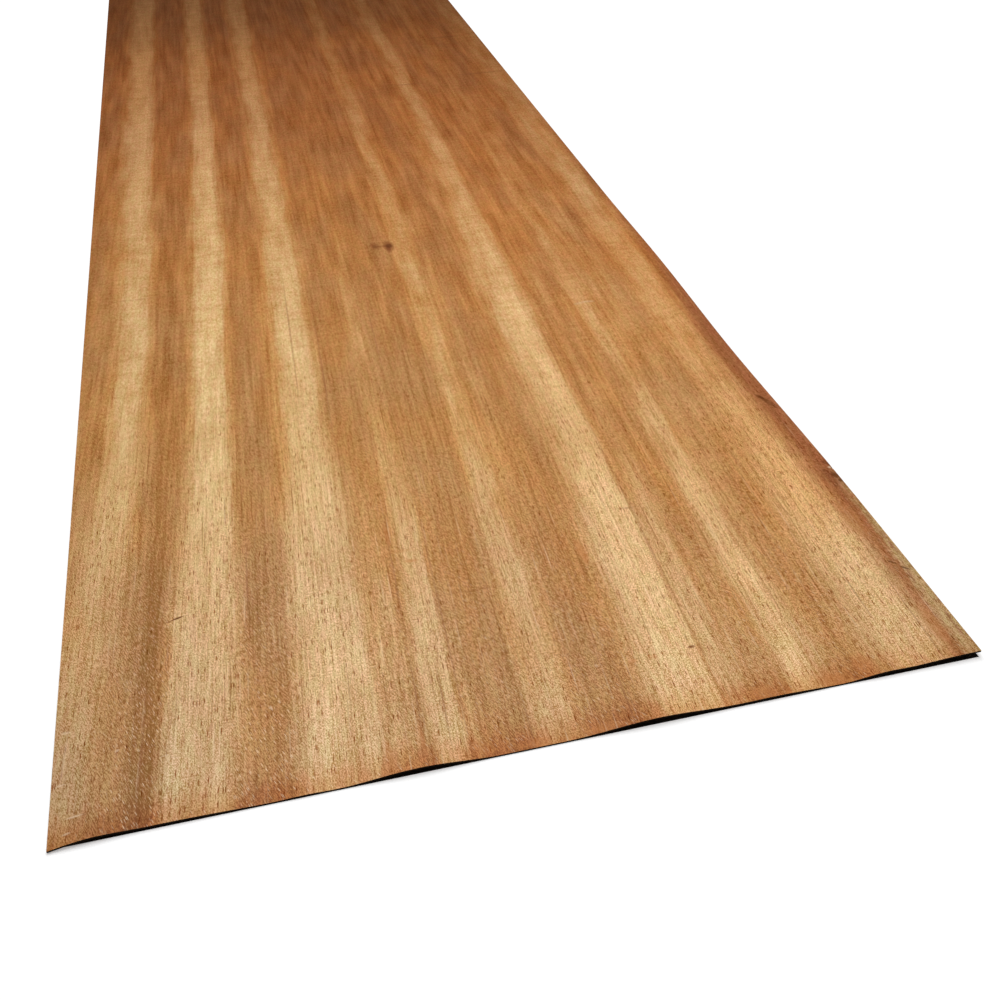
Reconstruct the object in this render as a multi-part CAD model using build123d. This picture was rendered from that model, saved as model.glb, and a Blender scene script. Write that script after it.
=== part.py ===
from build123d import *

import math
import os
from typing import NamedTuple

# Driving dimensions, in millimetres
WIDTH = 250.0  # clipped edge to clipped edge, across the grain
LENGTH = 915.0  # end to end, along the grain
THICKNESS = 0.6  # the leaf as it was sliced
CORNER_REACH = 1.0  # how far the near-left corner stands out past the near end's cut
CORNER_WIDTH = 24.0  # stretch of that cut over which the corner swings out
TEAR_FROM_END = 87.0  # small tear in the right edge, from the near end to its mouth
TEAR_MOUTH = 0.9  # width of the mouth, along the edge
TEAR_LENGTH = 2.4  # from the mouth's near side to the tip, along the grain
TEAR_DEPTH = 0.8  # from the edge to the tip, across the grain
GRID_ACROSS = 4.0  # spacing of the points that carry the waved surface
GRID_ALONG = 10.0


class Wave(NamedTuple):
    """One place where the dried leaf has lifted: highest at its crest, level with the floor at its foot."""

    across: float  # crest, from the left edge
    along: float  # crest, from the near end
    height: float  # rise of the underside above the floor
    half_width: float  # crest to foot, across the grain
    half_length: float  # crest to foot, along the grain


# The near end has buckled into waves that run along the grain and die out away from the end
END_WAVES = [
    Wave(across=9.0, along=0.0, height=1.1, half_width=15.0, half_length=110.0),
    Wave(across=27.0, along=0.0, height=0.75, half_width=31.0, half_length=150.0),
    Wave(across=61.0, along=0.0, height=0.3, half_width=9.0, half_length=70.0),
    Wave(across=90.0, along=0.0, height=1.65, half_width=22.0, half_length=190.0),
    Wave(across=155.0, along=0.0, height=1.85, half_width=27.0, half_length=210.0),
    Wave(across=187.0, along=0.0, height=0.7, half_width=24.0, half_length=150.0),
    Wave(across=220.0, along=0.0, height=0.75, half_width=12.0, half_length=100.0),
]

# The right edge has lifted too: at the corner, behind it, and again past the place where it touches down
EDGE_WAVES = [
    Wave(across=WIDTH, along=0.0, height=1.95, half_width=46.0, half_length=170.0),
    Wave(across=WIDTH, along=95.0, height=1.1, half_width=36.0, half_length=90.0),
    Wave(across=WIDTH, along=250.0, height=1.0, half_width=48.0, half_length=80.0),
]

WAVES = END_WAVES + EDGE_WAVES

# The rest of the leaf lies flat
WAVED_LENGTH = max(wave.along + wave.half_length for wave in WAVES)
NEAR_END = -LENGTH / 2
LEFT_EDGE = -WIDTH / 2
RIGHT_EDGE = WIDTH / 2


def hump(offset: float) -> float:
    """Rise of a wave at an offset from its crest: one at the crest, zero and level at the foot."""
    return math.cos(offset * math.pi / 2) ** 2 if abs(offset) < 1 else 0.0


def lift(across: float, along: float) -> float:
    """Height of the underside above the floor, at distances from the left edge and the near end."""
    return sum(
        wave.height
        * hump((across - wave.across) / wave.half_width)
        * hump((along - wave.along) / wave.half_length)
        for wave in WAVES
    )


def end_cut(across: float) -> float:
    """Where the near end was cut: how far behind the corner that stands out furthest."""
    swing = max(0.0, 1 - across / CORNER_WIDTH)
    return CORNER_REACH * (1 - swing**2)


def stations(length: float, spacing: float) -> list[float]:
    """Evenly spaced distances from zero to a length, no further apart than the spacing."""
    steps = math.ceil(length / spacing)
    return [length * step / steps for step in range(steps + 1)]


def underside_point(across: float, share: float) -> Vector:
    """Point of the glue face, at a share of the way from the cut end to where the waves have died out."""
    cut = end_cut(across)
    along = cut + (WAVED_LENGTH - cut) * share
    return Vector(LEFT_EDGE + across, NEAR_END + along, lift(across, along))


def waved_underside() -> Face:
    """Glue face of the waved stretch, as one smooth surface through points of the lift."""
    shares = [along / WAVED_LENGTH for along in stations(WAVED_LENGTH, GRID_ALONG)]
    points = [
        [underside_point(across, share) for share in shares]
        for across in stations(WIDTH, GRID_ACROSS)
    ]
    return Face.make_surface_from_array_of_points(points, tol=0.005, min_deg=3)


def waved_stretch() -> Part:
    """The leaf from the near end to where its waves have died out, at its even thickness."""
    return extrude(waved_underside(), amount=THICKNESS, dir=(0, 0, 1))


def flat_stretch() -> Part:
    """The rest of the leaf, flat on the floor, to its far end."""
    flat_length = LENGTH - WAVED_LENGTH
    middle = NEAR_END + WAVED_LENGTH + flat_length / 2
    lying_on_floor = (Align.CENTER, Align.CENTER, Align.MIN)
    return Pos(0, middle, 0) * Box(WIDTH, flat_length, THICKNESS, align=lying_on_floor)


def edge_tear() -> Part:
    """Space of the small tear: a wedge that runs in from the right edge and leans away from the near end."""
    mouth = NEAR_END + TEAR_FROM_END
    outline = Polygon(
        (RIGHT_EDGE, mouth),
        (RIGHT_EDGE, mouth + TEAR_MOUTH),
        (RIGHT_EDGE - TEAR_DEPTH, mouth + TEAR_LENGTH),
        align=None,
    )
    clear_of_leaf = lift(WIDTH, TEAR_FROM_END) + 2 * THICKNESS
    return extrude(outline, amount=clear_of_leaf, both=True)


def make_veneer_sheet() -> Part:
    """One leaf of sliced veneer, lying on its glue face."""
    return waved_stretch() + flat_stretch() - edge_tear()


os.makedirs("parts", exist_ok=True)
export_step(make_veneer_sheet(), "parts/veneer_sheet.step")
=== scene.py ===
"""Dresses one leaf of sliced ribbon-figured veneer on a pale floor, its near end buckled into low waves."""

import logging
import math
from dataclasses import dataclass
from enum import Enum

import bmesh
import bpy
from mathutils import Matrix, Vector

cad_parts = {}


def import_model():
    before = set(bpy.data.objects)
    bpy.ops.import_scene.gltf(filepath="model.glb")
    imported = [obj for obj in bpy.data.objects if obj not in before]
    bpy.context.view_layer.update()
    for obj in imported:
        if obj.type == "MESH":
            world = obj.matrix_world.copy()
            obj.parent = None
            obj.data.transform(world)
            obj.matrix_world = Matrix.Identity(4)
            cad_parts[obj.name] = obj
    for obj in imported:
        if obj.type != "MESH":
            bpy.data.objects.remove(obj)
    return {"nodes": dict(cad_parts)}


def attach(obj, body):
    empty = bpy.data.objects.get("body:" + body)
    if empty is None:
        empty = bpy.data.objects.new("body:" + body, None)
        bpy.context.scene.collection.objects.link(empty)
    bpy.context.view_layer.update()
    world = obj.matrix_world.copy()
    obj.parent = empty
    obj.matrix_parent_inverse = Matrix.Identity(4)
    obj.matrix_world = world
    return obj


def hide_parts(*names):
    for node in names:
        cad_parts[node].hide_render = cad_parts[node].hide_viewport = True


log = logging.getLogger("veneer")

Socket = bpy.types.NodeSocket
Color = tuple[float, float, float]

MM = 0.001


class Blend(Enum):
    """How one colour is laid over another."""

    MIX = "MIX"
    MULTIPLY = "MULTIPLY"


@dataclass(frozen=True)
class Ramp:
    """A smooth step from a low to a high level, which goes backwards where it starts above its end."""

    start: float
    end: float
    low: float = 0.0
    high: float = 1.0


@dataclass(frozen=True)
class Cells:
    """Cells of a noise, by their size in the unit of its distances, with its finer layers."""

    width: float
    length: float
    layer: float
    detail: float = 0.0
    roughness: float = 0.5


@dataclass(frozen=True)
class Spots:
    """Separate spots, by the size of the cell that each has, and its reach and core in cells."""

    width: float
    length: float
    reach: float
    core: float = 0.35
    faintest: float = 0.2


class Sketch:
    """A node tree, drawn one named operation at a time."""

    def __init__(self, owner: bpy.types.Material | bpy.types.World) -> None:
        """Empties the owner's tree.

        Args:
            owner: The material or world to draw in.
        """
        owner.use_nodes = True
        self.tree = owner.node_tree
        self.tree.nodes.clear()

    def node(self, kind: str, **settings: object) -> bpy.types.Node:
        """Adds a node.

        Args:
            kind: The node's type name.
            settings: Properties to set on it.

        Returns:
            The new node.
        """
        node = self.tree.nodes.new(kind)
        for name, value in settings.items():
            setattr(node, name, value)
        return node

    def feed(self, socket: Socket, value: object) -> None:
        """Links a socket to another one, or sets it to a constant.

        Args:
            socket: The input to fill.
            value: An output socket, a number, a colour or a vector.
        """
        if isinstance(value, bpy.types.NodeSocket):
            self.tree.links.new(value, socket)
        elif socket.type == "RGBA":
            socket.default_value = (*value, 1.0)
        else:
            socket.default_value = value

    def math(self, operation: str, *values: object) -> Socket:
        """Adds a Math node.

        Args:
            operation: The node's operation.
            values: Its inputs, sockets or numbers.

        Returns:
            The result.
        """
        node = self.node("ShaderNodeMath", operation=operation)
        for socket, value in zip(node.inputs, values):
            self.feed(socket, value)
        return node.outputs[0]

    def chain(self, operation: str, values: list[Socket]) -> Socket:
        """Joins several values by one operation, from the first to the last."""
        result = values[0]
        for value in values[1:]:
            result = self.math(operation, result, value)
        return result

    def product(self, *values: Socket) -> Socket:
        """Multiplies several values."""
        return self.chain("MULTIPLY", list(values))

    def total(self, values: list[Socket]) -> Socket:
        """Adds several values up."""
        return self.chain("ADD", values)

    def between(self, before: Socket, after: Socket, share: Socket) -> Socket:
        """Passes from one value, where the share is zero, to another, where it is one."""
        return self.math("MULTIPLY_ADD", self.math("SUBTRACT", after, before), share, before)

    def shifted(self, value: Socket, noise: Socket, reach: float) -> Socket:
        """Shifts a value by a noise, at most half the reach up or down."""
        return self.math("MULTIPLY_ADD", noise, reach, self.math("SUBTRACT", value, reach / 2))

    def ease(self, value: Socket, ramp: Ramp) -> Socket:
        """Turns a value into a smooth step.

        Args:
            value: The value that drives the step.
            ramp: Where the step begins and ends, and its levels there.

        Returns:
            The step.
        """
        node = self.node("ShaderNodeMapRange", interpolation_type="SMOOTHSTEP")
        ends = ((ramp.start, ramp.low), (ramp.end, ramp.high))
        (first, first_level), (last, last_level) = sorted(ends, key=lambda end: end[0])
        numbers = {"From Min": first, "From Max": last, "To Min": first_level, "To Max": last_level}
        for name, number in numbers.items():
            node.inputs[name].default_value = number
        self.feed(node.inputs["Value"], value)
        return node.outputs["Result"]

    def blend(self, base: object, over: object, share: object, how: Blend = Blend.MIX) -> Socket:
        """Lays one colour over another.

        Args:
            base: The colour beneath.
            over: The colour on top.
            share: How much of the top colour shows.
            how: The way the two combine.

        Returns:
            The combined colour.
        """
        node = self.node("ShaderNodeMix", data_type="RGBA", blend_type=how.value)
        factor, first, second = node.inputs[0], node.inputs[6], node.inputs[7]
        self.feed(factor, share)
        self.feed(first, base)
        self.feed(second, over)
        return node.outputs[2]

    def point(self, across: Socket, along: Socket, layer: float) -> Socket:
        """Makes a point from two distances and a third coordinate, which sets textures apart."""
        node = self.node("ShaderNodeCombineXYZ")
        for socket, value in zip(node.inputs, (across, along, layer)):
            self.feed(socket, value)
        return node.outputs[0]

    def stretched(self, across: Socket, along: Socket, width: float, length: float, layer: float) -> Socket:
        """Makes a point that is counted in cells of a given width and length."""
        return self.point(self.math("DIVIDE", across, width), self.math("DIVIDE", along, length), layer)

    def noise(self, across: Socket, along: Socket, cells: Cells) -> Socket:
        """Adds a Noise texture of one feature per cell.

        Args:
            across: Distance across the grain.
            along: Distance along the grain.
            cells: The noise's cells.

        Returns:
            The noise, about one half on average.
        """
        point = self.stretched(across, along, cells.width, cells.length, cells.layer)
        node = self.node("ShaderNodeTexNoise", noise_dimensions="3D")
        self.feed(node.inputs["Vector"], point)
        node.inputs["Scale"].default_value = 1.0
        node.inputs["Detail"].default_value = cells.detail
        node.inputs["Roughness"].default_value = cells.roughness
        return node.outputs["Fac"]

    def scatter(self, across: Socket, along: Socket, spots: Spots, share: object) -> Socket:
        """Scatters separate spots, one in some of the cells.

        Args:
            across: Distance across the grain.
            along: Distance along the grain.
            spots: The spots.
            share: Share of the cells that hold a spot.

        Returns:
            Up to one in the middle of a spot, which varies from spot to spot, and zero away from all spots.
        """
        node = self.node("ShaderNodeTexVoronoi", voronoi_dimensions="2D", feature="F1")
        self.feed(node.inputs["Vector"], self.stretched(across, along, spots.width, spots.length, 0.0))
        node.inputs["Scale"].default_value = 1.0
        spot = self.ease(node.outputs["Distance"], Ramp(spots.reach, spots.reach * spots.core))
        pick = self.node("ShaderNodeSeparateColor")
        self.feed(pick.inputs[0], node.outputs["Color"])
        held = self.math("LESS_THAN", pick.outputs[0], share)
        square = self.math("POWER", pick.outputs[1], 2.0)
        depth = self.math("MULTIPLY_ADD", square, 1 - spots.faintest, spots.faintest)
        return self.product(spot, held, depth)

    def object_axes(self) -> tuple[Socket, Socket, Socket]:
        """Gives a point's x, y and z on the object, in metres."""
        coordinates = self.node("ShaderNodeTexCoord")
        split = self.node("ShaderNodeSeparateXYZ")
        self.feed(split.inputs[0], coordinates.outputs["Object"])
        return split.outputs[0], split.outputs[1], split.outputs[2]

    def bump(self, height: Socket, strength: float, depth: float) -> Socket:
        """Tilts the surface by a height.

        Args:
            height: The height, from zero to one.
            strength: How much of the tilt is used.
            depth: What a height of one stands for, in metres.

        Returns:
            The surface normal.
        """
        node = self.node("ShaderNodeBump")
        node.inputs["Strength"].default_value = strength
        node.inputs["Distance"].default_value = depth
        self.feed(node.inputs["Height"], height)
        return node.outputs[0]

    def surface(self, inputs: dict[str, object]) -> None:
        """Finishes a material.

        Args:
            inputs: The shader's inputs by name, as sockets or constants.
        """
        shader = self.node("ShaderNodeBsdfPrincipled")
        for name, value in inputs.items():
            self.feed(shader.inputs[name], value)
        output = self.node("ShaderNodeOutputMaterial")
        self.feed(output.inputs["Surface"], shader.outputs[0])


@dataclass(frozen=True)
class Stripe:
    """One ribbon, in millimetres from the left edge at the near end, or a streak of negative strength."""

    start: float
    crest_start: float
    crest_end: float
    end: float
    strength: float


# At the near end
NEAR_RIBBONS = (
    Stripe(-16, -7, 3, 15, 0.4),
    Stripe(23.5, 27.5, 39.5, 49, 0.66),
    Stripe(55.5, 65, 77, 82, 0.76),
    Stripe(77, 80, 90, 93.5, 0.36),
    Stripe(92, 96.5, 102, 104.5, 0.68),
    Stripe(103.5, 105, 106, 109, 0.25),
    Stripe(118.5, 126.5, 129, 139, 0.52),
    Stripe(144.5, 157, 199, 203.5, 0.27),
    Stripe(149, 165, 172.5, 174.5, 0.86),
    Stripe(173.5, 175, 180, 182, 0.34),
    Stripe(190.5, 196.5, 200.5, 212, 0.66),
    Stripe(204, 209, 216, 221, 0.15),
    Stripe(213, 229, 236, 247, 0.92),
    Stripe(16, 19, 21.5, 24.5, -0.6),
    Stripe(46, 49.5, 52, 57, -0.08),
)

# About 170 mm in
MIDDLE_RIBBONS = (
    Stripe(-6.5, 3.5, 7.5, 16, 0.64),
    Stripe(14.5, 17.5, 19.5, 23.5, -0.3),
    Stripe(24, 35.5, 38.5, 47, 0.96),
    Stripe(56, 68, 72, 82.5, 0.74),
    Stripe(92.5, 95.5, 97.5, 104, 0.26),
    Stripe(120.5, 126, 128, 134.5, 0.44),
    Stripe(128, 132, 138, 144, 0.18),
    Stripe(148.5, 165.5, 168.5, 178, 0.82),
    Stripe(174.5, 181, 214, 225, 0.19),
    Stripe(191, 197.5, 199, 206.5, 0.28),
    Stripe(204, 209, 214, 219, 0.1),
    Stripe(217, 227.5, 235, 242.5, 0.58),
)

# From about 520 mm in
FAR_RIBBONS = (
    Stripe(-16, 0, 3, 11.5, 0.98),
    Stripe(25.5, 36.5, 39, 47.5, 0.96),
    Stripe(57.5, 68.5, 71.5, 82, 0.77),
    Stripe(120, 127.5, 130, 138, 0.48),
    Stripe(144.5, 149.5, 199, 227, 0.13),
    Stripe(160, 169, 171.5, 176.5, 0.48),
    Stripe(191.5, 198, 200.5, 206.5, 0.14),
    Stripe(218.5, 231, 239, 248, 0.48),
)


@dataclass(frozen=True)
class Mark:
    """One small oval mark, by its middle from the left edge and the near end in millimetres.

    A hairline follows its fibre, so that its distance from the left edge is that at the near end.
    """

    across: float
    along: float
    width: float
    length: float
    strength: float
    turn: float = 0.0


HAIRLINES = (
    Mark(173.5, 85, 0.8, 160, 0.28),
    Mark(173.3, 188, 0.9, 50, 0.26),
    Mark(99, 20, 0.7, 34, 0.43),
    Mark(226.8, 31, 0.7, 30, 0.43),
    Mark(92.1, 26, 0.7, 34, 0.41),
    Mark(92.2, 78, 0.7, 60, 0.38),
    Mark(238.6, 14, 0.8, 50, 0.38),
    Mark(47.5, 80, 0.8, 34, 0.43),
    Mark(120.3, 8, 0.7, 34, 0.41),
    Mark(147.5, 10, 0.7, 44, 0.41),
    Mark(103.8, 62, 0.8, 140, 0.35),
    Mark(103.8, 218, 0.9, 70, 0.35),
    Mark(20, 22, 0.9, 56, 0.38),
    Mark(40.9, 118, 0.7, 18, 0.41),
    Mark(69.5, 230, 1, 110, 0.38),
    Mark(80.2, 196, 1, 110, 0.29),
)

BROWN_MARKS = (
    Mark(133.6, 297, 5.8, 13, 0.8),
    Mark(133, 292.6, 2.8, 10, 0.34),
    Mark(127.5, 298.2, 5, 9.5, 0.62, 8),
    Mark(130.6, 297.4, 6, 2.2, 0.35, -8),
    Mark(32.1, 71.8, 4.2, 0.8, 1, 17),
    Mark(30, 71, 3, 0.7, 0.6, 18),
    Mark(172.5, 23.7, 2.8, 1.3, 0.8, 6),
    Mark(174.9, 22.4, 0.6, 4.2, 0.5),
    Mark(172.3, 27.2, 0.6, 3.6, 0.5),
    Mark(176.2, 87.4, 10, 1, 0.35, -2),
    Mark(119, 62.2, 20, 1.1, 0.32, -2),
    Mark(20.7, 273, 30, 1.6, 0.22),
    Mark(182.4, 517, 18, 3.4, 0.32),
    Mark(232.4, 527, 36, 3.2, 0.34, 2),
    Mark(226.5, 608, 24, 5, 0.28),
    Mark(158.8, 462, 10, 62, 0.2),
)

DARK_MARKS = (
    Mark(133.8, 297, 3.6, 5.4, 0.6),
    Mark(127.4, 297.6, 2.6, 4, 0.25, 10),
    Mark(32.2, 71.8, 3.6, 0.5, 0.9, 17),
    Mark(172.3, 23.7, 1.4, 0.8, 0.4, 8),
    Mark(249.4, 91.4, 2.4, 4.4, 0.5, 25),
    Mark(249, 84.4, 3.2, 4.6, 0.5, 30),
    Mark(249.6, 81.4, 2.4, 2.4, 0.55),
    Mark(247.4, 84, 7, 13, 0.26),
    Mark(247, 132.6, 2.6, 13, 0.45, 21),
    Mark(245.6, 136.6, 2, 6, 0.4, 24),
    Mark(247.4, 37, 4.2, 1.1, 0.75, -40),
    Mark(244.8, 40.4, 3.8, 1, 0.6, -44),
)

REDDISH_MARKS = (
    Mark(102.6, 79.4, 5.4, 1.8, 0.6),
    Mark(99.4, 84.6, 9, 2.2, 0.35),
    Mark(97.4, 93, 1.8, 13, 0.45),
    Mark(154.6, 69, 3.2, 14, 0.6),
    Mark(154.2, 21.8, 3.4, 1.7, 0.45),
    Mark(160.2, 22, 3.8, 1.9, 0.38),
    Mark(83.4, 7, 2.2, 13, 0.4),
    Mark(92.4, 9, 1.6, 12, 0.4),
    Mark(107, 4, 5, 7, 0.35),
    Mark(121.4, 2.4, 8, 4, 0.45),
    Mark(139, 2, 12, 4.4, 0.45),
    Mark(185, 3, 9, 6, 0.4),
    Mark(206, 3, 12, 5, 0.45),
    Mark(216, 6, 7, 8, 0.35),
    Mark(243, 62, 7, 22, 0.3),
    Mark(242.6, 14, 5, 20, 0.35),
    Mark(118, 528, 16, 60, 0.22),
)

PALE_MARKS = (
    Mark(6.2, 7.9, 5.2, 0.7, 0.5, 3),
    Mark(2.7, 35.6, 2.8, 1.3, 0.4, -8),
    Mark(4.4, 3.4, 2.6, 0.8, 0.42, 8),
    Mark(2.3, 18.6, 3, 0.8, 0.45, 4),
    Mark(2.8, 27, 0.9, 18, 0.3, -4),
    Mark(27.6, 21.6, 3, 0.6, 0.35, 10),
    Mark(30.2, 20.4, 2.6, 0.6, 0.3, -12),
    Mark(15.9, 26, 1.5, 1, 0.45, 30),
    Mark(55.5, 31.2, 0.6, 2.4, 0.5, 14),
    Mark(203, 223, 7, 2.2, 0.18, 12),
    Mark(207, 223.4, 6, 2, 0.22, -8),
    Mark(249.3, 89, 1.6, 1.4, 0.6),
)


@dataclass(frozen=True)
class Cast:
    """A broad part of the face with a cast of its own, where all its ramps are high."""

    color: Color
    across: tuple[Ramp, ...] = ()
    along: tuple[Ramp, ...] = ()
    figure: tuple[Ramp, ...] = ()


# Some casts are painted light and shade, as marked below; the rest are the wood's own colour.
CASTS = (
    # Warm rib behind the pale one at the right
    Cast(
        (1.0, 0.87, 0.72),
        (Ramp(222, 232),),
        (Ramp(340, 270), Ramp(45, 80, 0, 0.65), Ramp(120, 160, 1, 1.5)),
    ),
    # Warmer browns at the near end
    Cast((1.0, 0.975, 0.905), (Ramp(75, 95),), (Ramp(150, 110),), (Ramp(0.55, 0.2),)),
    # Yellower middle
    Cast((1.0, 1.0, 0.90), (Ramp(200, 110, 0.2),), (Ramp(60, 150), Ramp(480, 340))),
    # Cooler near left corner
    Cast((0.92, 0.965, 1.05), (Ramp(60, 5),), (Ramp(75, 25),)),
    # Paler band far away: painted light
    Cast((1.06, 1.05, 1.05), (Ramp(215, 190),), (Ramp(500, 560), Ramp(650, 600))),
    # Darker far end: painted shade of the lamp's falloff
    Cast((0.92, 0.92, 0.95), (), (Ramp(600, 675),)),
)


@dataclass(frozen=True)
class Place:
    """A point of the face, by its distances from the left edge and the near end in millimetres.

    The grain is where its fibre meets the near end. The level and away distances run across and along
    the crossing fibres. The figure is zero on the brown and one on the palest ribbon.
    """

    across: Socket
    along: Socket
    grain: Socket
    figure: Socket
    level: Socket
    away: Socket


@dataclass(frozen=True)
class Lean:
    """The run of the fibres: most lean to the right going away, and some cross them."""

    drift: float = 17.5
    drift_across: float = 0.043
    drift_limit: float = 1.9
    drift_length: float = 400.0
    crossing: float = 22.0

    def grain(self, sketch: Sketch, across: Socket, along: Socket) -> Socket:
        """Follows each fibre back to the near end.

        Args:
            sketch: The tree to draw in.
            across: Distance from the left edge.
            along: Distance from the near end.

        Returns:
            Where the fibre meets the near end, in millimetres from the left edge.
        """
        decay = sketch.math("EXPONENT", sketch.math("DIVIDE", along, -self.drift_length))
        share = sketch.math("MULTIPLY_ADD", decay, -self.drift_limit, self.drift_limit)
        reach = sketch.math("MULTIPLY_ADD", across, -self.drift_across, self.drift)
        return sketch.math("SUBTRACT", across, sketch.math("MULTIPLY", share, reach))

    def crossed(self, sketch: Sketch, across: Socket, along: Socket) -> tuple[Socket, Socket]:
        """Turns the two distances to the crossing fibres.

        Args:
            sketch: The tree to draw in.
            across: Distance from the left edge.
            along: Distance from the near end.

        Returns:
            The distances across and along the crossing fibres.
        """
        sine = math.sin(math.radians(self.crossing))
        cosine = math.cos(math.radians(self.crossing))
        level = sketch.math("MULTIPLY_ADD", along, sine, sketch.math("MULTIPLY", across, cosine))
        away = sketch.math("MULTIPLY_ADD", across, -sine, sketch.math("MULTIPLY", along, cosine))
        return level, away


@dataclass(frozen=True)
class Figure:
    """Pale ribbons with ragged, swaying flanks, which change on the way to the far end. They are partly the
    wood's own figure and partly painted sheen: the ribbons' chatoyant shine is drawn as colour.
    """

    to_middle: Ramp = Ramp(30, 170)
    to_far: Ramp = Ramp(170, 520)
    sway: Cells = Cells(26, 90, 3.1)
    sway_reach: float = 2.4
    feather: Cells = Cells(1.1, 22, 5.3, 1, 0.6)
    feather_reach: float = 3.6
    blotches: Cells = Cells(6, 30, 1.3, 1, 0.6)
    swell: Ramp = Ramp(0.25, 0.75, 0.9, 1.1)
    unrest: Ramp = Ramp(0.25, 0.75, -0.1, 0.1)
    unrest_gain: Ramp = Ramp(60, 320, 0.6)

    def draw(self, sketch: Sketch, grain: Socket, along: Socket) -> Socket:
        """Draws the ribbons.

        Args:
            sketch: The tree to draw in.
            grain: The fibre's place at the near end.
            along: Distance from the near end.

        Returns:
            The figure, from zero on the brown to one on the palest ribbon.
        """
        sway = sketch.noise(grain, along, self.sway)
        feather = sketch.noise(grain, along, self.feather)
        ragged = sketch.shifted(sketch.shifted(grain, sway, self.sway_reach), feather, self.feather_reach)
        near, middle, far = (
            sketch.total([self.ribbon(sketch, ragged, stripe) for stripe in stripes])
            for stripes in (NEAR_RIBBONS, MIDDLE_RIBBONS, FAR_RIBBONS)
        )
        nearer = sketch.between(near, middle, sketch.ease(along, self.to_middle))
        ribbons = sketch.between(nearer, far, sketch.ease(along, self.to_far))
        blotches = sketch.noise(grain, along, self.blotches)
        unrest = sketch.product(sketch.ease(blotches, self.unrest), sketch.ease(along, self.unrest_gain))
        return sketch.math("MULTIPLY_ADD", ribbons, sketch.ease(blotches, self.swell), unrest)

    def ribbon(self, sketch: Sketch, grain: Socket, stripe: Stripe) -> Socket:
        """Draws one ribbon or dark streak."""
        rise = Ramp(stripe.start, stripe.crest_start)
        fall = Ramp(stripe.end, stripe.crest_end, 0.0, stripe.strength)
        return sketch.product(sketch.ease(grain, rise), sketch.ease(grain, fall))


@dataclass(frozen=True)
class Ground:
    """Broad colours of the figure, redder and darker going away, with flanks of the ribbons, clouds and
    casts. The change from near to far is partly the wood's own colour and partly painted light: a paler,
    greyer near end for sheen and a darker far end for the lamp's falloff.
    """

    # near and far colours: wood colour with painted sheen near and painted shade far
    dark_near: Color = (0.445, 0.219, 0.0745)
    dark_far: Color = (0.475, 0.157, 0.042)
    dark_change: Ramp = Ramp(35, 620)
    pale_near: Color = (0.77, 0.52, 0.268)
    pale_far: Color = (0.80, 0.36, 0.122)
    pale_change: Ramp = Ramp(130, 680)
    flank: Color = (1.0, 0.93, 0.80)
    flank_rise: Ramp = Ramp(0, 0.16)
    flank_fall: Ramp = Ramp(0.7, 0.3)
    flank_gain: Ramp = Ramp(20, 220, 0.35)
    cool_cloud: Color = (0.98, 1.0, 1.08)
    warm_cloud: Color = (1.03, 0.98, 0.90)
    clouds: Cells = Cells(13, 55, 71, 1)
    cloud_balance: Ramp = Ramp(0.36, 0.64)
    cloud_share: Ramp = Ramp(0.6, 0.1, 0.2)
    # warmer right half: wood colour and painted shade of the lamp's falloff
    right_warmth_and_shade: Color = (1.0, 0.915, 0.80)
    right_rise: Ramp = Ramp(110, 210)
    right_gain: Ramp = Ramp(15, 90, 0.6)
    right_fall: Ramp = Ramp(620, 360)
    right_step: Ramp = Ramp(208, 216)
    right_step_gain: Ramp = Ramp(120, 160, 0, 0.5)

    def draw(self, sketch: Sketch, place: Place) -> Socket:
        """Colours the figure.

        Args:
            sketch: The tree to draw in.
            place: The point.

        Returns:
            The ground colour.
        """
        dark = sketch.blend(self.dark_near, self.dark_far, sketch.ease(place.along, self.dark_change))
        pale = sketch.blend(self.pale_near, self.pale_far, sketch.ease(place.along, self.pale_change))
        color = sketch.blend(dark, pale, place.figure)
        flank = sketch.product(
            sketch.ease(place.figure, self.flank_rise),
            sketch.ease(place.figure, self.flank_fall),
            sketch.ease(place.along, self.flank_gain),
        )
        color = sketch.blend(color, self.flank, flank, Blend.MULTIPLY)
        clouds = sketch.ease(sketch.noise(place.across, place.along, self.clouds), self.cloud_balance)
        cloud = sketch.blend(self.cool_cloud, self.warm_cloud, clouds)
        color = sketch.blend(color, cloud, sketch.ease(place.figure, self.cloud_share), Blend.MULTIPLY)
        color = sketch.blend(color, self.right_warmth_and_shade, self.right_warmth_and_shade_share(sketch, place), Blend.MULTIPLY)
        for cast in CASTS:
            color = sketch.blend(color, cast.color, self.cast_share(sketch, place, cast), Blend.MULTIPLY)
        return color

    def right_warmth_and_shade_share(self, sketch: Sketch, place: Place) -> Socket:
        """Marks out the warmer, darker right half, partly the wood's colour and partly painted shade of the
        lamp's falloff, less warm past its step near the edge.
        """
        step = sketch.ease(place.across, self.right_step)
        step = sketch.product(step, sketch.ease(place.along, self.right_step_gain))
        return sketch.product(
            sketch.ease(place.across, self.right_rise),
            sketch.ease(place.along, self.right_gain),
            sketch.ease(place.along, self.right_fall),
            sketch.math("SUBTRACT", 1.0, step),
        )

    def cast_share(self, sketch: Sketch, place: Place, cast: Cast) -> Socket:
        """Marks out the part of the face that has a cast."""
        driven = ((place.across, cast.across), (place.along, cast.along), (place.figure, cast.figure))
        return sketch.product(*(sketch.ease(value, ramp) for value, ramps in driven for ramp in ramps))


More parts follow.
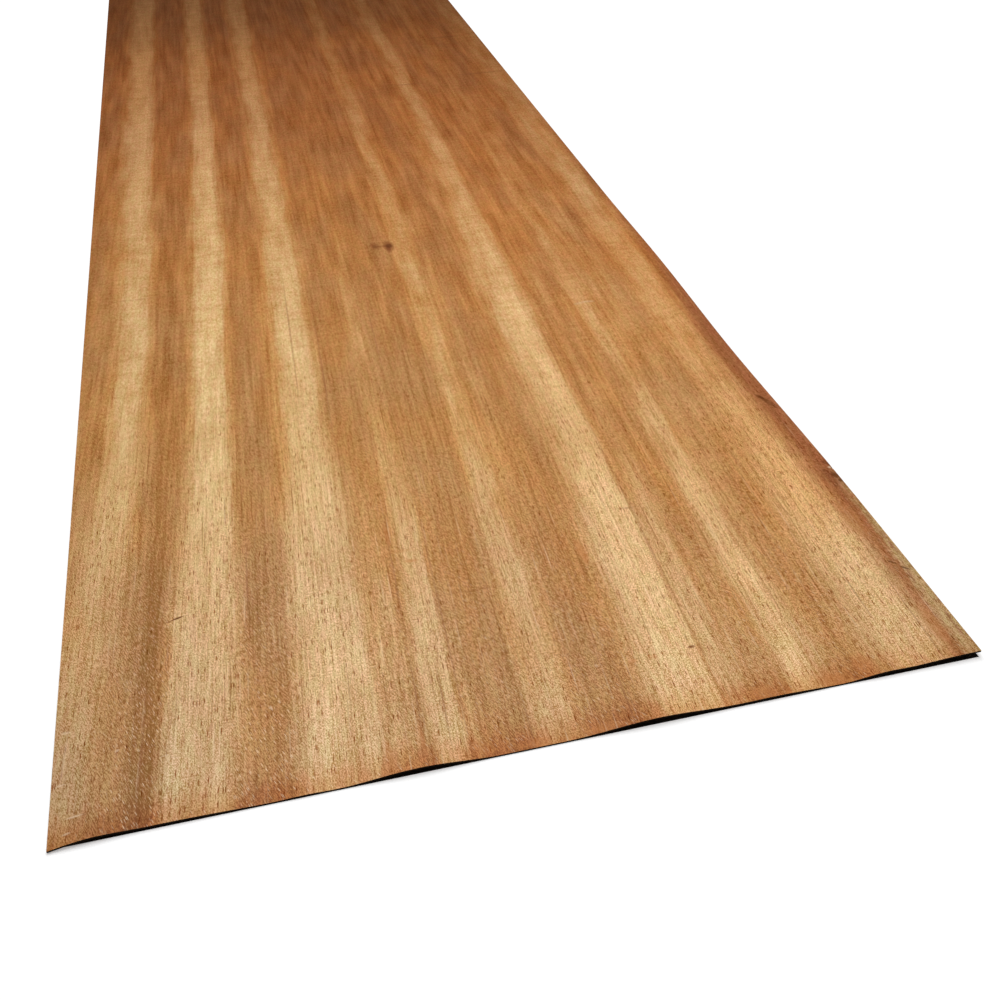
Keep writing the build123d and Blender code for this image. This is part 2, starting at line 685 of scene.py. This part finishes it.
@dataclass(frozen=True)
class Margins:
    """Darker rim and sapwood along the right edge and stain along the near end, with ragged borders. The
    rim is partly the wood's own colour and partly painted shade where the edge bends.
    """

    ragged: Cells = Cells(1.6, 7, 61, 2)
    ragged_reach: float = 7.0
    # dark rim: wood colour and painted shade of the bent right edge
    rim: Color = (0.335, 0.108, 0.038)
    rim_rise: Ramp = Ramp(237, 247.5)
    rim_narrowing: Ramp = Ramp(130, 330, 0, -7)
    rim_share: Ramp = Ramp(430, 330, 0.4, 0.85)
    rim_loss: Ramp = Ramp(80, 40, 0, 0.12)
    sapwood: Color = (0.52, 0.33, 0.14)
    sap_stain: Color = (0.38, 0.19, 0.085)
    sap_slope: float = 0.045
    sap_rise: Ramp = Ramp(243.6, 246)
    sap_share: Ramp = Ramp(95, 60, 0, 0.9)
    sap_patches: Ramp = Ramp(0.5, 0.68)
    stain: Color = (0.80, 0.515, 0.29)
    stain_fall: Ramp = Ramp(13, 0, 0, 0.9)
    stain_on_pale: Ramp = Ramp(0.4, 0.85, 1, 0.7)
    stain_at_edge: Ramp = Ramp(247, 243, 0.35)
    stain_on_right: Ramp = Ramp(210, 222, 1, 0.72)

    def lay(self, sketch: Sketch, color: Socket, place: Place) -> Socket:
        """Lays the rim, the sapwood and the stain over a colour.

        Args:
            sketch: The tree to draw in.
            color: The colour.
            place: The point.

        Returns:
            The colour with its margins.
        """
        ragged = sketch.noise(place.across, place.along, self.ragged)
        border = sketch.math("MULTIPLY_ADD", ragged, self.ragged_reach, -self.ragged_reach / 2)
        from_left = sketch.math("ADD", place.across, border)
        narrowed = sketch.math("ADD", from_left, sketch.ease(place.along, self.rim_narrowing))
        share = sketch.ease(place.along, self.rim_share)
        share = sketch.math("SUBTRACT", share, sketch.ease(place.along, self.rim_loss))
        color = sketch.blend(color, self.rim, sketch.product(sketch.ease(narrowed, self.rim_rise), share))
        sap_line = sketch.math("MULTIPLY_ADD", place.along, -self.sap_slope, from_left)
        sap = sketch.product(sketch.ease(sap_line, self.sap_rise), sketch.ease(place.along, self.sap_share))
        sapwood = sketch.blend(self.sapwood, self.sap_stain, sketch.ease(ragged, self.sap_patches))
        color = sketch.blend(color, sapwood, sap)
        stain = sketch.product(
            sketch.ease(sketch.math("ADD", place.along, border), self.stain_fall),
            sketch.ease(place.figure, self.stain_on_pale),
            sketch.ease(place.across, self.stain_at_edge),
            sketch.ease(place.across, self.stain_on_right),
        )
        return sketch.blend(color, self.stain, stain, Blend.MULTIPLY)


@dataclass(frozen=True)
class Tinge:
    """Small patches of rose and olive along the fibres."""

    rosy: Color = (1.03, 0.97, 1.0)
    olive: Color = (0.976, 1.028, 0.96)
    patches: Cells = Cells(2.2, 8, 91, 2, 0.7)
    balance: Ramp = Ramp(0.36, 0.64)

    def lay(self, sketch: Sketch, color: Socket, place: Place) -> Socket:
        """Tinges a colour.

        Args:
            sketch: The tree to draw in.
            color: The colour.
            place: The point.

        Returns:
            The tinged colour.
        """
        patches = sketch.noise(place.grain, place.along, self.patches)
        tint = sketch.blend(self.rosy, self.olive, sketch.ease(patches, self.balance))
        return sketch.blend(color, tint, 1.0, Blend.MULTIPLY)


@dataclass(frozen=True)
class Texture:
    """Fine pale and dark texture: fibres, bundles of them, hatching, grit and ripples."""

    shade: Color = (0.64, 0.49, 0.21)
    shine: Color = (1.36, 1.51, 1.79)
    fibers: Cells = Cells(0.5, 18, 17, 1)
    fiber_share: Ramp = Ramp(0.1, 0.7, 0.42, 0.64)
    grit: Cells = Cells(0.27, 0.55, 41)
    grit_share: Ramp = Ramp(30, 150, 1, 1.2)
    hatch: Cells = Cells(0.3, 1.7, 31)
    hatch_share: Ramp = Ramp(0.1, 0.7, 1.05, 0.35)
    near_gain: Ramp = Ramp(250, 50, 0.36, 1.78)
    bundles: Cells = Cells(1.5, 50, 11, 1, 0.6)
    bundle_share: Ramp = Ramp(0.15, 0.6, 0.9, 0.4)
    bundle_gain: Ramp = Ramp(160, 320, 1, 0.75)
    streaks: Cells = Cells(4.5, 45, 13, 1)
    streak_share: Ramp = Ramp(0.2, 0.6, 1, 0.3)
    streak_gain: Ramp = Ramp(100, 300, 0.15, 0.9)
    mottle: Cells = Cells(0.9, 2, 47, 1, 0.7)
    mottle_gain: Ramp = Ramp(60, 230, 0.15)
    ripples: Cells = Cells(13, 5, 51, 2, 0.6)
    ripple_share: Ramp = Ramp(0.1, 0.7, 0.6)
    ripple_gain: Ramp = Ramp(60, 230, 0, 0.55)
    level: Ramp = Ramp(-0.6, 0, 0.14, 0.5)

    def lay(self, sketch: Sketch, color: Socket, place: Place) -> Socket:
        """Makes a colour paler, or darker and warmer, by the texture.

        Args:
            sketch: The tree to draw in.
            color: The colour.
            place: The point.

        Returns:
            The textured colour.
        """
        fibered = (place.grain, place.along)
        straight = (place.across, place.along)
        crossed = (place.level, place.away)
        fine = self.weighted(
            sketch,
            (sketch.noise(*fibered, self.fibers), sketch.ease(place.figure, self.fiber_share)),
            (sketch.noise(*straight, self.grit), sketch.ease(place.across, self.grit_share)),
            (sketch.noise(*crossed, self.hatch), sketch.ease(place.figure, self.hatch_share)),
        )
        bundles, streaks, ripples = (
            sketch.product(sketch.ease(place.figure, share), sketch.ease(place.along, gain))
            for share, gain in (
                (self.bundle_share, self.bundle_gain),
                (self.streak_share, self.streak_gain),
                (self.ripple_share, self.ripple_gain),
            )
        )
        broad = self.weighted(
            sketch,
            (sketch.noise(*fibered, self.bundles), bundles),
            (sketch.noise(*fibered, self.streaks), streaks),
            (sketch.noise(*straight, self.mottle), sketch.ease(place.along, self.mottle_gain)),
            (sketch.noise(*straight, self.ripples), ripples),
        )
        lift = sketch.math("MULTIPLY_ADD", fine, sketch.ease(place.along, self.near_gain), broad)
        tone = sketch.math("ADD", lift, sketch.ease(place.figure, self.level))
        tint = sketch.blend(self.shade, self.shine, tone)
        return sketch.blend(color, tint, 1.0, Blend.MULTIPLY)

    def weighted(self, sketch: Sketch, *parts: tuple[Socket, Socket]) -> Socket:
        """Adds up noises about their middle value, each with its weight."""
        middle = 0.5
        return sketch.total(
            [sketch.product(sketch.math("SUBTRACT", noise, middle), weight) for noise, weight in parts]
        )


@dataclass(frozen=True)
class Pores:
    """Cut vessels: short dark dashes, fewer on the brown, and a few long dark lines."""

    color: Color = (0.44, 0.22, 0.10)
    dashes: Spots = Spots(0.6, 3.8, 0.42)
    dash_share: Ramp = Ramp(0, 0.8, 0.1, 0.42)
    dash_share_right: Ramp = Ramp(195, 225, 0, 0.2)
    dash_gain: Ramp = Ramp(110, 250, 1, 0.12)
    lines: Spots = Spots(0.8, 40, 0.35)
    line_share: float = 0.14
    line_gain: Ramp = Ramp(120, 280, 0.55, 0.15)

    def draw(self, sketch: Sketch, place: Place) -> Socket:
        """Draws the pores.

        Args:
            sketch: The tree to draw in.
            place: The point.

        Returns:
            How much of their colour shows.
        """
        share = sketch.ease(place.figure, self.dash_share)
        share = sketch.math("ADD", share, sketch.ease(place.grain, self.dash_share_right))
        dashes = sketch.scatter(place.grain, place.along, self.dashes, share)
        dashes = sketch.product(dashes, sketch.ease(place.along, self.dash_gain))
        lines = sketch.scatter(place.grain, place.along, self.lines, self.line_share)
        lines = sketch.product(lines, sketch.ease(place.along, self.line_gain))
        return sketch.math("MAXIMUM", dashes, lines)


@dataclass(frozen=True)
class Flecks:
    """Pale dashes along the crossing fibres, most of them at the near left, and glints along the grain."""

    color: Color = (0.90, 0.65, 0.42)
    dashes: Spots = Spots(0.3, 2.3, 0.42)
    dash_share: Ramp = Ramp(0.15, 0.55, 0.24, 0.06)
    dash_gain: Ramp = Ramp(120, 30)
    dash_gain_right: Ramp = Ramp(100, 60, 0.6)
    dash_gain_left: Ramp = Ramp(8, 18, 0.4)
    glints: Spots = Spots(0.75, 24, 0.36)
    glint_share: float = 0.16
    glint_gain: Ramp = Ramp(170, 60, 0, 0.4)

    def draw(self, sketch: Sketch, place: Place) -> Socket:
        """Draws the flecks.

        Args:
            sketch: The tree to draw in.
            place: The point.

        Returns:
            How much of their colour shows.
        """
        share = sketch.ease(place.figure, self.dash_share)
        dashes = sketch.product(
            sketch.scatter(place.level, place.away, self.dashes, share),
            sketch.ease(place.grain, self.dash_gain_left),
            sketch.ease(place.along, self.dash_gain),
            sketch.ease(place.grain, self.dash_gain_right),
        )
        glints = sketch.scatter(place.grain, place.along, self.glints, self.glint_share)
        glints = sketch.product(glints, sketch.ease(place.along, self.glint_gain))
        return sketch.math("MAXIMUM", dashes, glints)


@dataclass(frozen=True)
class RibbonVeneer:
    """Raw sliced face of the leaf: pale ribbons on brown, with pores, flecks, pin knots and scratches."""

    hairline: Color = (0.25, 0.084, 0.029)
    reddish: Color = (0.56, 0.22, 0.065)
    knot: Color = (0.090, 0.024, 0.007)
    scratch: Color = (0.84, 0.62, 0.42)
    mark_reach: float = 1.2
    roughness: Ramp = Ramp(0, 1, 0.6, 0.85)
    gloss: Ramp = Ramp(0, 0.8, 0.25, 0.02)
    relief: Cells = Cells(0.5, 6, 17)
    relief_strength: float = 0.3
    relief_depth: float = 0.05 * MM

    def build(self, leaf: "VeneerLeaf") -> bpy.types.Material:
        """Draws the face's material.

        Args:
            leaf: The leaf, whose edges the pattern is measured from.

        Returns:
            The material.
        """
        material = bpy.data.materials.new("ribbon_veneer_face")
        sketch = Sketch(material)
        place = self.place(sketch, leaf)
        pores = Pores().draw(sketch, place)
        color = Margins().lay(sketch, Ground().draw(sketch, place), place)
        color = Texture().lay(sketch, Tinge().lay(sketch, color, place), place)
        color = sketch.blend(color, Flecks.color, Flecks().draw(sketch, place))
        color = sketch.blend(color, Pores.color, pores, Blend.MULTIPLY)
        fiber = sketch.point(place.grain, place.along, 1.0)
        spot = sketch.point(place.across, place.along, 1.0)
        color = sketch.blend(color, self.hairline, self.marks(sketch, fiber, HAIRLINES))
        brown = self.marks(sketch, spot, BROWN_MARKS)
        color = sketch.blend(color, self.hairline, brown)
        color = sketch.blend(color, self.reddish, self.marks(sketch, spot, REDDISH_MARKS))
        dark = self.marks(sketch, spot, DARK_MARKS)
        color = sketch.blend(color, self.knot, dark)
        color = sketch.blend(color, self.scratch, self.marks(sketch, spot, PALE_MARKS))
        hollow = sketch.chain("MAXIMUM", [pores, dark, brown])
        relief = sketch.noise(place.across, place.along, self.relief)
        surface = {
            "Base Color": color,
            "Roughness": sketch.ease(hollow, self.roughness),
            "Specular IOR Level": sketch.ease(hollow, self.gloss),
            "Normal": sketch.bump(relief, self.relief_strength, self.relief_depth),
        }
        sketch.surface(surface)
        return material

    def place(self, sketch: Sketch, leaf: "VeneerLeaf") -> Place:
        """Measures where a point of the face lies.

        Args:
            sketch: The tree to draw in.
            leaf: The leaf.

        Returns:
            The point.
        """
        sideways, lengthways, _ = sketch.object_axes()
        across = sketch.math("MULTIPLY_ADD", sideways, 1 / MM, leaf.width / 2)
        along = sketch.math("MULTIPLY_ADD", lengthways, 1 / MM, leaf.length / 2)
        grain = Lean().grain(sketch, across, along)
        figure = Figure().draw(sketch, grain, along)
        return Place(across, along, grain, figure, *Lean().crossed(sketch, across, along))

    def marks(self, sketch: Sketch, spot: Socket, marks: tuple[Mark, ...]) -> Socket:
        """Draws all marks of one kind, and gives how much of their colour shows."""
        return sketch.total([self.mark_share(sketch, spot, mark) for mark in marks])

    def mark_share(self, sketch: Sketch, spot: Socket, mark: Mark) -> Socket:
        """Draws one mark as a soft turned oval.

        Args:
            sketch: The tree to draw in.
            spot: Distances from the left edge and the near end, with one as the third coordinate.
            mark: The mark.

        Returns:
            How much of the mark's colour shows.
        """
        turn = math.radians(mark.turn)
        wide = self.offset(sketch, spot, mark, turn, mark.width / 2)
        long = self.offset(sketch, spot, mark, turn + math.pi / 2, mark.length / 2)
        square = sketch.math("MULTIPLY_ADD", wide, wide, sketch.math("MULTIPLY", long, long))
        return sketch.ease(square, Ramp(self.mark_reach, 0.0, 0.0, mark.strength))

    def offset(self, sketch: Sketch, spot: Socket, mark: Mark, heading: float, unit: float) -> Socket:
        """Measures how far a point lies from a mark's middle in one direction, in the given unit."""
        level = math.cos(heading) / unit
        away = math.sin(heading) / unit
        node = sketch.node("ShaderNodeVectorMath", operation="DOT_PRODUCT")
        sketch.feed(node.inputs[0], spot)
        node.inputs[1].default_value = (level, away, -level * mark.across - away * mark.along)
        return node.outputs["Value"]


@dataclass(frozen=True)
class CutEdge:
    """Knife-cut edge of the leaf: end grain in fine layers, near black, partly its own dark end grain and
    partly painted shade of the edge facing away from the lamp.
    """

    # near-black end grain: darker wood and painted shade
    color: Color = (0.008, 0.004, 0.002)
    paler: Color = (0.024, 0.012, 0.006)
    fibers: Cells = Cells(0.4 * MM, 0.15 * MM, 2.0, 2.0)
    paleness: Ramp = Ramp(0.35, 0.7)
    roughness: Ramp = Ramp(0.3, 0.7, 0.75, 0.95)
    gloss: float = 0.05
    relief_strength: float = 0.3
    relief_depth: float = 0.05 * MM

    def build(self) -> bpy.types.Material:
        """Draws the edge's material."""
        material = bpy.data.materials.new("veneer_cut_edge")
        sketch = Sketch(material)
        sideways, lengthways, height = sketch.object_axes()
        fibers = sketch.noise(sketch.math("ADD", sideways, lengthways), height, self.fibers)
        surface = {
            "Base Color": sketch.blend(self.color, self.paler, sketch.ease(fibers, self.paleness)),
            "Roughness": sketch.ease(fibers, self.roughness),
            "Specular IOR Level": self.gloss,
            "Normal": sketch.bump(fibers, self.relief_strength, self.relief_depth),
        }
        sketch.surface(surface)
        return material


@dataclass(frozen=True)
class Wave:
    """One place where the leaf has lifted, by its crest and the distances to its foot, in millimetres."""

    across: float
    along: float
    height: float
    half_width: float
    half_length: float

    @staticmethod
    def hump(offset: float) -> float:
        """Gives the rise at an offset from the crest: one at the crest, zero and level at the foot."""
        return math.cos(offset * math.pi / 2) ** 2 if abs(offset) < 1 else 0.0

    def rise(self, across: float, along: float) -> float:
        """Gives this wave's height, in millimetres, at a place on the leaf."""
        sideways = self.hump((across - self.across) / self.half_width)
        return self.height * sideways * self.hump((along - self.along) / self.half_length)


@dataclass
class VeneerLeaf:
    """The leaf: a thin sheet with waves at its near end, lifted along its right edge, flat behind them."""

    width: float = 250.0
    length: float = 915.0
    thickness: float = 0.597
    corner_reach: float = 1.0
    corner_width: float = 24.0
    tear_from_end: float = 87.0
    tear_mouth: float = 0.9
    tear_length: float = 2.4
    tear_depth: float = 0.8
    columns: int = 125
    rows: int = 240
    tear_rows: float = 1.6
    upright: float = 0.5
    sharp_angle: float = 40.0
    waves: tuple[Wave, ...] = (
        Wave(9, 0, 1.1, 15, 110),
        Wave(27, 0, 0.75, 31, 150),
        Wave(61, 0, 0.3, 9, 70),
        Wave(90, 0, 1.65, 22, 190),
        Wave(155, 0, 1.85, 27, 210),
        Wave(187, 0, 0.7, 24, 150),
        Wave(220, 0, 0.75, 12, 100),
        Wave(250, 0, 1.95, 46, 170),
        Wave(250, 95, 1.1, 36, 90),
        Wave(250, 250, 1, 48, 80),
    )

    @property
    def waved_length(self) -> float:
        """Distance from the near end to where the last wave has died out."""
        return max(wave.along + wave.half_length for wave in self.waves)

    def lift(self, across: float, along: float) -> float:
        """Gives the underside's height above the floor, in millimetres."""
        return sum(wave.rise(across, along) for wave in self.waves)

    def end_cut(self, across: float) -> float:
        """Gives how far the near end's cut lies behind the corner that stands out furthest."""
        swing = max(0.0, 1 - across / self.corner_width)
        return self.corner_reach * (1 - swing**2)

    def shape(self, across: float, along: float) -> Vector:
        """Places one point of the flat blank on the waved underside.

        Args:
            across: Distance from the left edge.
            along: Distance from the near end of the blank.

        Returns:
            The point, in metres.
        """
        pull = max(0.0, 1 - along / self.waved_length)
        behind = along + self.end_cut(across) * pull
        height = self.lift(across, behind)
        return Vector((across - self.width / 2, behind - self.length / 2, height)) * MM

    def cut_tear(self, mesh: bmesh.types.BMesh) -> None:
        """Cuts the small tear out of the right edge, while the blank is flat and in millimetres.

        Args:
            mesh: The blank.
        """
        edge = self.width / 2
        mouth = self.tear_from_end - self.length / 2
        tip = Vector((edge - self.tear_depth, mouth + self.tear_length, 0.0))
        near_side = Vector((edge, mouth, 0.0))
        far_side = Vector((edge, mouth + self.tear_mouth, 0.0))
        up = Vector((0.0, 0.0, 1.0))
        for side in (near_side, far_side):
            close = [face for face in mesh.faces if self.beside(face.calc_center_median(), tip)]
            around = close + [item for face in close for item in (*face.edges, *face.verts)]
            normal = (tip - side).cross(up)
            parts = list(dict.fromkeys(around))
            bmesh.ops.bisect_plane(mesh, geom=parts, plane_co=side, plane_no=normal)
        corners = (near_side, far_side, tip)
        wedge = [face for face in mesh.faces if self.within(face.calc_center_median(), *corners)]
        bmesh.ops.delete(mesh, geom=wedge, context="FACES")

    def beside(self, place: Vector, tip: Vector) -> bool:
        """Tells whether a place lies within one or two blank faces of the tear."""
        reach = self.length / self.rows * self.tear_rows
        return place.x > tip.x - self.width / self.columns and abs(place.y - tip.y) < reach

    @staticmethod
    def within(place: Vector, first: Vector, second: Vector, third: Vector) -> bool:
        """Tells whether a place lies inside the triangle of three corners."""
        sides = ((first, second), (second, third), (third, first))
        turns = [(after - before).cross(place - before).z for before, after in sides]
        return all(turn > 0 for turn in turns) or all(turn < 0 for turn in turns)

    def build(self) -> bpy.types.Object:
        """Models the leaf from a flat blank.

        Returns:
            The leaf's object.
        """
        mesh = bmesh.new()
        bmesh.ops.create_grid(mesh, x_segments=self.columns, y_segments=self.rows, size=0.5)
        bmesh.ops.scale(mesh, vec=(self.width, self.length, 1.0), verts=mesh.verts)
        self.cut_tear(mesh)
        for vert in mesh.verts:
            vert.co = self.shape(vert.co.x + self.width / 2, vert.co.y + self.length / 2)
        grown = bmesh.ops.extrude_face_region(mesh, geom=mesh.faces[:])["geom"]
        top = [item for item in grown if isinstance(item, bmesh.types.BMVert)]
        bmesh.ops.translate(mesh, vec=(0.0, 0.0, self.thickness * MM), verts=top)
        bmesh.ops.recalc_face_normals(mesh, faces=mesh.faces[:])
        for face in mesh.faces:
            face.smooth = True
            face.material_index = 0 if abs(face.normal.z) > self.upright else 1
        data = bpy.data.meshes.new("veneer_leaf")
        mesh.to_mesh(data)
        mesh.free()
        data.set_sharp_from_angle(angle=math.radians(self.sharp_angle))
        leaf = bpy.data.objects.new("veneer_leaf", data)
        bpy.context.scene.collection.objects.link(leaf)
        return leaf

    def dress(self, leaf: bpy.types.Object) -> None:
        """Gives the leaf's object its finishes and ties it to the frame."""
        leaf.data.materials.append(RibbonVeneer().build(self))
        leaf.data.materials.append(CutEdge().build())
        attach(leaf, "root")
        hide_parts("veneer_sheet")


@dataclass(frozen=True)
class Studio:
    """Pale floor, one soft lamp over the near half, and the camera; sizes in metres."""

    floor_size: float = 8.0
    floor_tone: float = 0.8
    floor_roughness: float = 0.9
    # near-black floor colour under the leaf: painted shade
    painted_shade_tone: float = 0.04
    white: float = 1.08
    lamp_height: float = 0.5
    lamp_width: float = 0.3
    lamp_length: float = 0.55
    lamp_along: float = -0.2975
    lamp_power: float = 2.95
    lamp_stations: int = 4
    sky: float = 0.07
    camera_place: tuple[float, float, float] = (-0.05868, -0.62935, 0.22817)
    camera_pitch: float = 38.8214
    camera_heading: float = 14.4369
    image_size: float = 1000.0
    focal_pixels: float = 1098.6
    sensor: float = 36.0
    clip_start: float = 0.01

    def build(self, leaf: VeneerLeaf) -> None:
        """Sets the whole stage.

        Args:
            leaf: The leaf, under whose footprint the floor is painted dark as shade.
        """
        self.lay_floor(leaf)
        self.hang_lamp()
        self.light_sky()
        self.place_camera()

    def seen_directly(self, sketch: Sketch) -> Socket:
        """Gives one for camera, mirror and glass rays, which show the backdrop as it is."""
        path = sketch.node("ShaderNodeLightPath")
        seen = sketch.math("MAXIMUM", path.outputs["Is Camera Ray"], path.outputs["Is Glossy Ray"])
        return sketch.math("MAXIMUM", seen, path.outputs["Is Transmission Ray"])

    def lamp_light(self, sketch: Sketch, sideways: Socket, lengthways: Socket) -> Socket:
        """Estimates the lamp's light on the floor, from a few stations along the lamp.

        Args:
            sketch: The tree to draw in.
            sideways: The floor point's x.
            lengthways: The floor point's y.

        Returns:
            The light, one right below a small lamp.
        """
        shares = []
        for station in range(self.lamp_stations):
            place = self.lamp_along + ((station + 0.5) / self.lamp_stations - 0.5) * self.lamp_length
            ahead = sketch.math("SUBTRACT", lengthways, place)
            squares = sketch.math("MULTIPLY_ADD", sideways, sideways, sketch.math("MULTIPLY", ahead, ahead))
            spread = sketch.math("MULTIPLY_ADD", squares, self.lamp_height**-2, 1.0)
            shares.append(sketch.math("POWER", spread, -2.0))
        brightness = self.lamp_power / (math.pi * self.lamp_height) ** 2
        return sketch.math("MULTIPLY", sketch.total(shares), brightness / self.lamp_stations)

    def outside(self, sketch: Sketch, sideways: Socket, lengthways: Socket, leaf: VeneerLeaf) -> Socket:
        """Gives one on the open floor and zero under the leaf."""
        past_side = sketch.math("GREATER_THAN", sketch.math("ABSOLUTE", sideways), leaf.width / 2 * MM)
        before_end = sketch.math("LESS_THAN", lengthways, (leaf.corner_reach - leaf.length / 2) * MM)
        past_end = sketch.math("GREATER_THAN", lengthways, leaf.length / 2 * MM)
        return sketch.math("MAXIMUM", past_side, sketch.math("MAXIMUM", before_end, past_end))

    def lay_floor(self, leaf: VeneerLeaf) -> None:
        """Lays the floor, painted dark under the leaf as the shade in the gap beneath it, and evened out to
        white where the lamp's light falls off.

        Args:
            leaf: The leaf.
        """
        mesh = bmesh.new()
        bmesh.ops.create_grid(mesh, x_segments=1, y_segments=1, size=self.floor_size / 2)
        data = bpy.data.meshes.new("floor")
        mesh.to_mesh(data)
        mesh.free()
        floor = bpy.data.objects.new("floor", data)
        bpy.context.scene.collection.objects.link(floor)
        material = bpy.data.materials.new("pale_floor")
        data.materials.append(material)
        sketch = Sketch(material)
        sideways, lengthways, _ = sketch.object_axes()
        light = sketch.math("ADD", self.lamp_light(sketch, sideways, lengthways), self.sky)
        missing = sketch.math("MULTIPLY_ADD", light, -self.floor_tone, self.white)
        outside = self.outside(sketch, sideways, lengthways, leaf)
        surface = {
            # painted shade: the floor's own colour is near black under the leaf, where shade falls in the
            # gap
            "Base Color": sketch.blend((self.painted_shade_tone,) * 3, (self.floor_tone,) * 3, outside),
            "Roughness": self.floor_roughness,
            "Specular IOR Level": 0.0,
            "Emission Color": (1.0, 1.0, 1.0),
            "Emission Strength": sketch.product(missing, outside, self.seen_directly(sketch)),
        }
        sketch.surface(surface)

    def hang_lamp(self) -> None:
        """Hangs one long soft lamp over the near half, facing down."""
        lamp = bpy.data.lights.new("soft_lamp", "AREA")
        lamp.shape = "RECTANGLE"
        lamp.size = self.lamp_width
        lamp.size_y = self.lamp_length
        lamp.energy = self.lamp_power
        holder = bpy.data.objects.new("soft_lamp", lamp)
        holder.location = (0.0, self.lamp_along, self.lamp_height)
        bpy.context.scene.collection.objects.link(holder)

    def light_sky(self) -> None:
        """Surrounds the leaf with an even pale light, which shows as white."""
        world = bpy.data.worlds.new("pale_room")
        bpy.context.scene.world = world
        sketch = Sketch(world)
        background = sketch.node("ShaderNodeBackground")
        sketch.feed(background.inputs["Color"], (1.0, 1.0, 1.0))
        path = sketch.node("ShaderNodeLightPath")
        strength = sketch.math("MULTIPLY_ADD", path.outputs["Is Camera Ray"], 1 - self.sky, self.sky)
        sketch.feed(background.inputs["Strength"], strength)
        output = sketch.node("ShaderNodeOutputWorld")
        sketch.feed(output.inputs["Surface"], background.outputs[0])

    def place_camera(self) -> None:
        """Stands the camera in front of the near end, looking down along the leaf."""
        camera = bpy.data.cameras.new("camera")
        camera.sensor_width = self.sensor
        camera.lens = self.focal_pixels / self.image_size * self.sensor
        camera.clip_start = self.clip_start
        holder = bpy.data.objects.new("camera", camera)
        holder.location = self.camera_place
        tilt = math.radians(90 - self.camera_pitch)
        holder.rotation_euler = (tilt, 0.0, -math.radians(self.camera_heading))
        bpy.context.scene.collection.objects.link(holder)
        bpy.context.scene.camera = holder


def main() -> None:
    """Builds the leaf and its stage, in order."""
    logging.basicConfig(level=logging.INFO)
    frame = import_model()
    log.info("frame: %s", ", ".join(sorted(frame["nodes"])))
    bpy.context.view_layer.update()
    scene = bpy.context.scene
    scene.view_settings.view_transform = "Standard"
    leaf = VeneerLeaf()
    piece = leaf.build()
    leaf.dress(piece)
    log.info("veneer leaf: %d faces", len(piece.data.polygons))
    Studio().build(leaf)
    log.info("stage set")


if __name__ == "__main__":
    main()
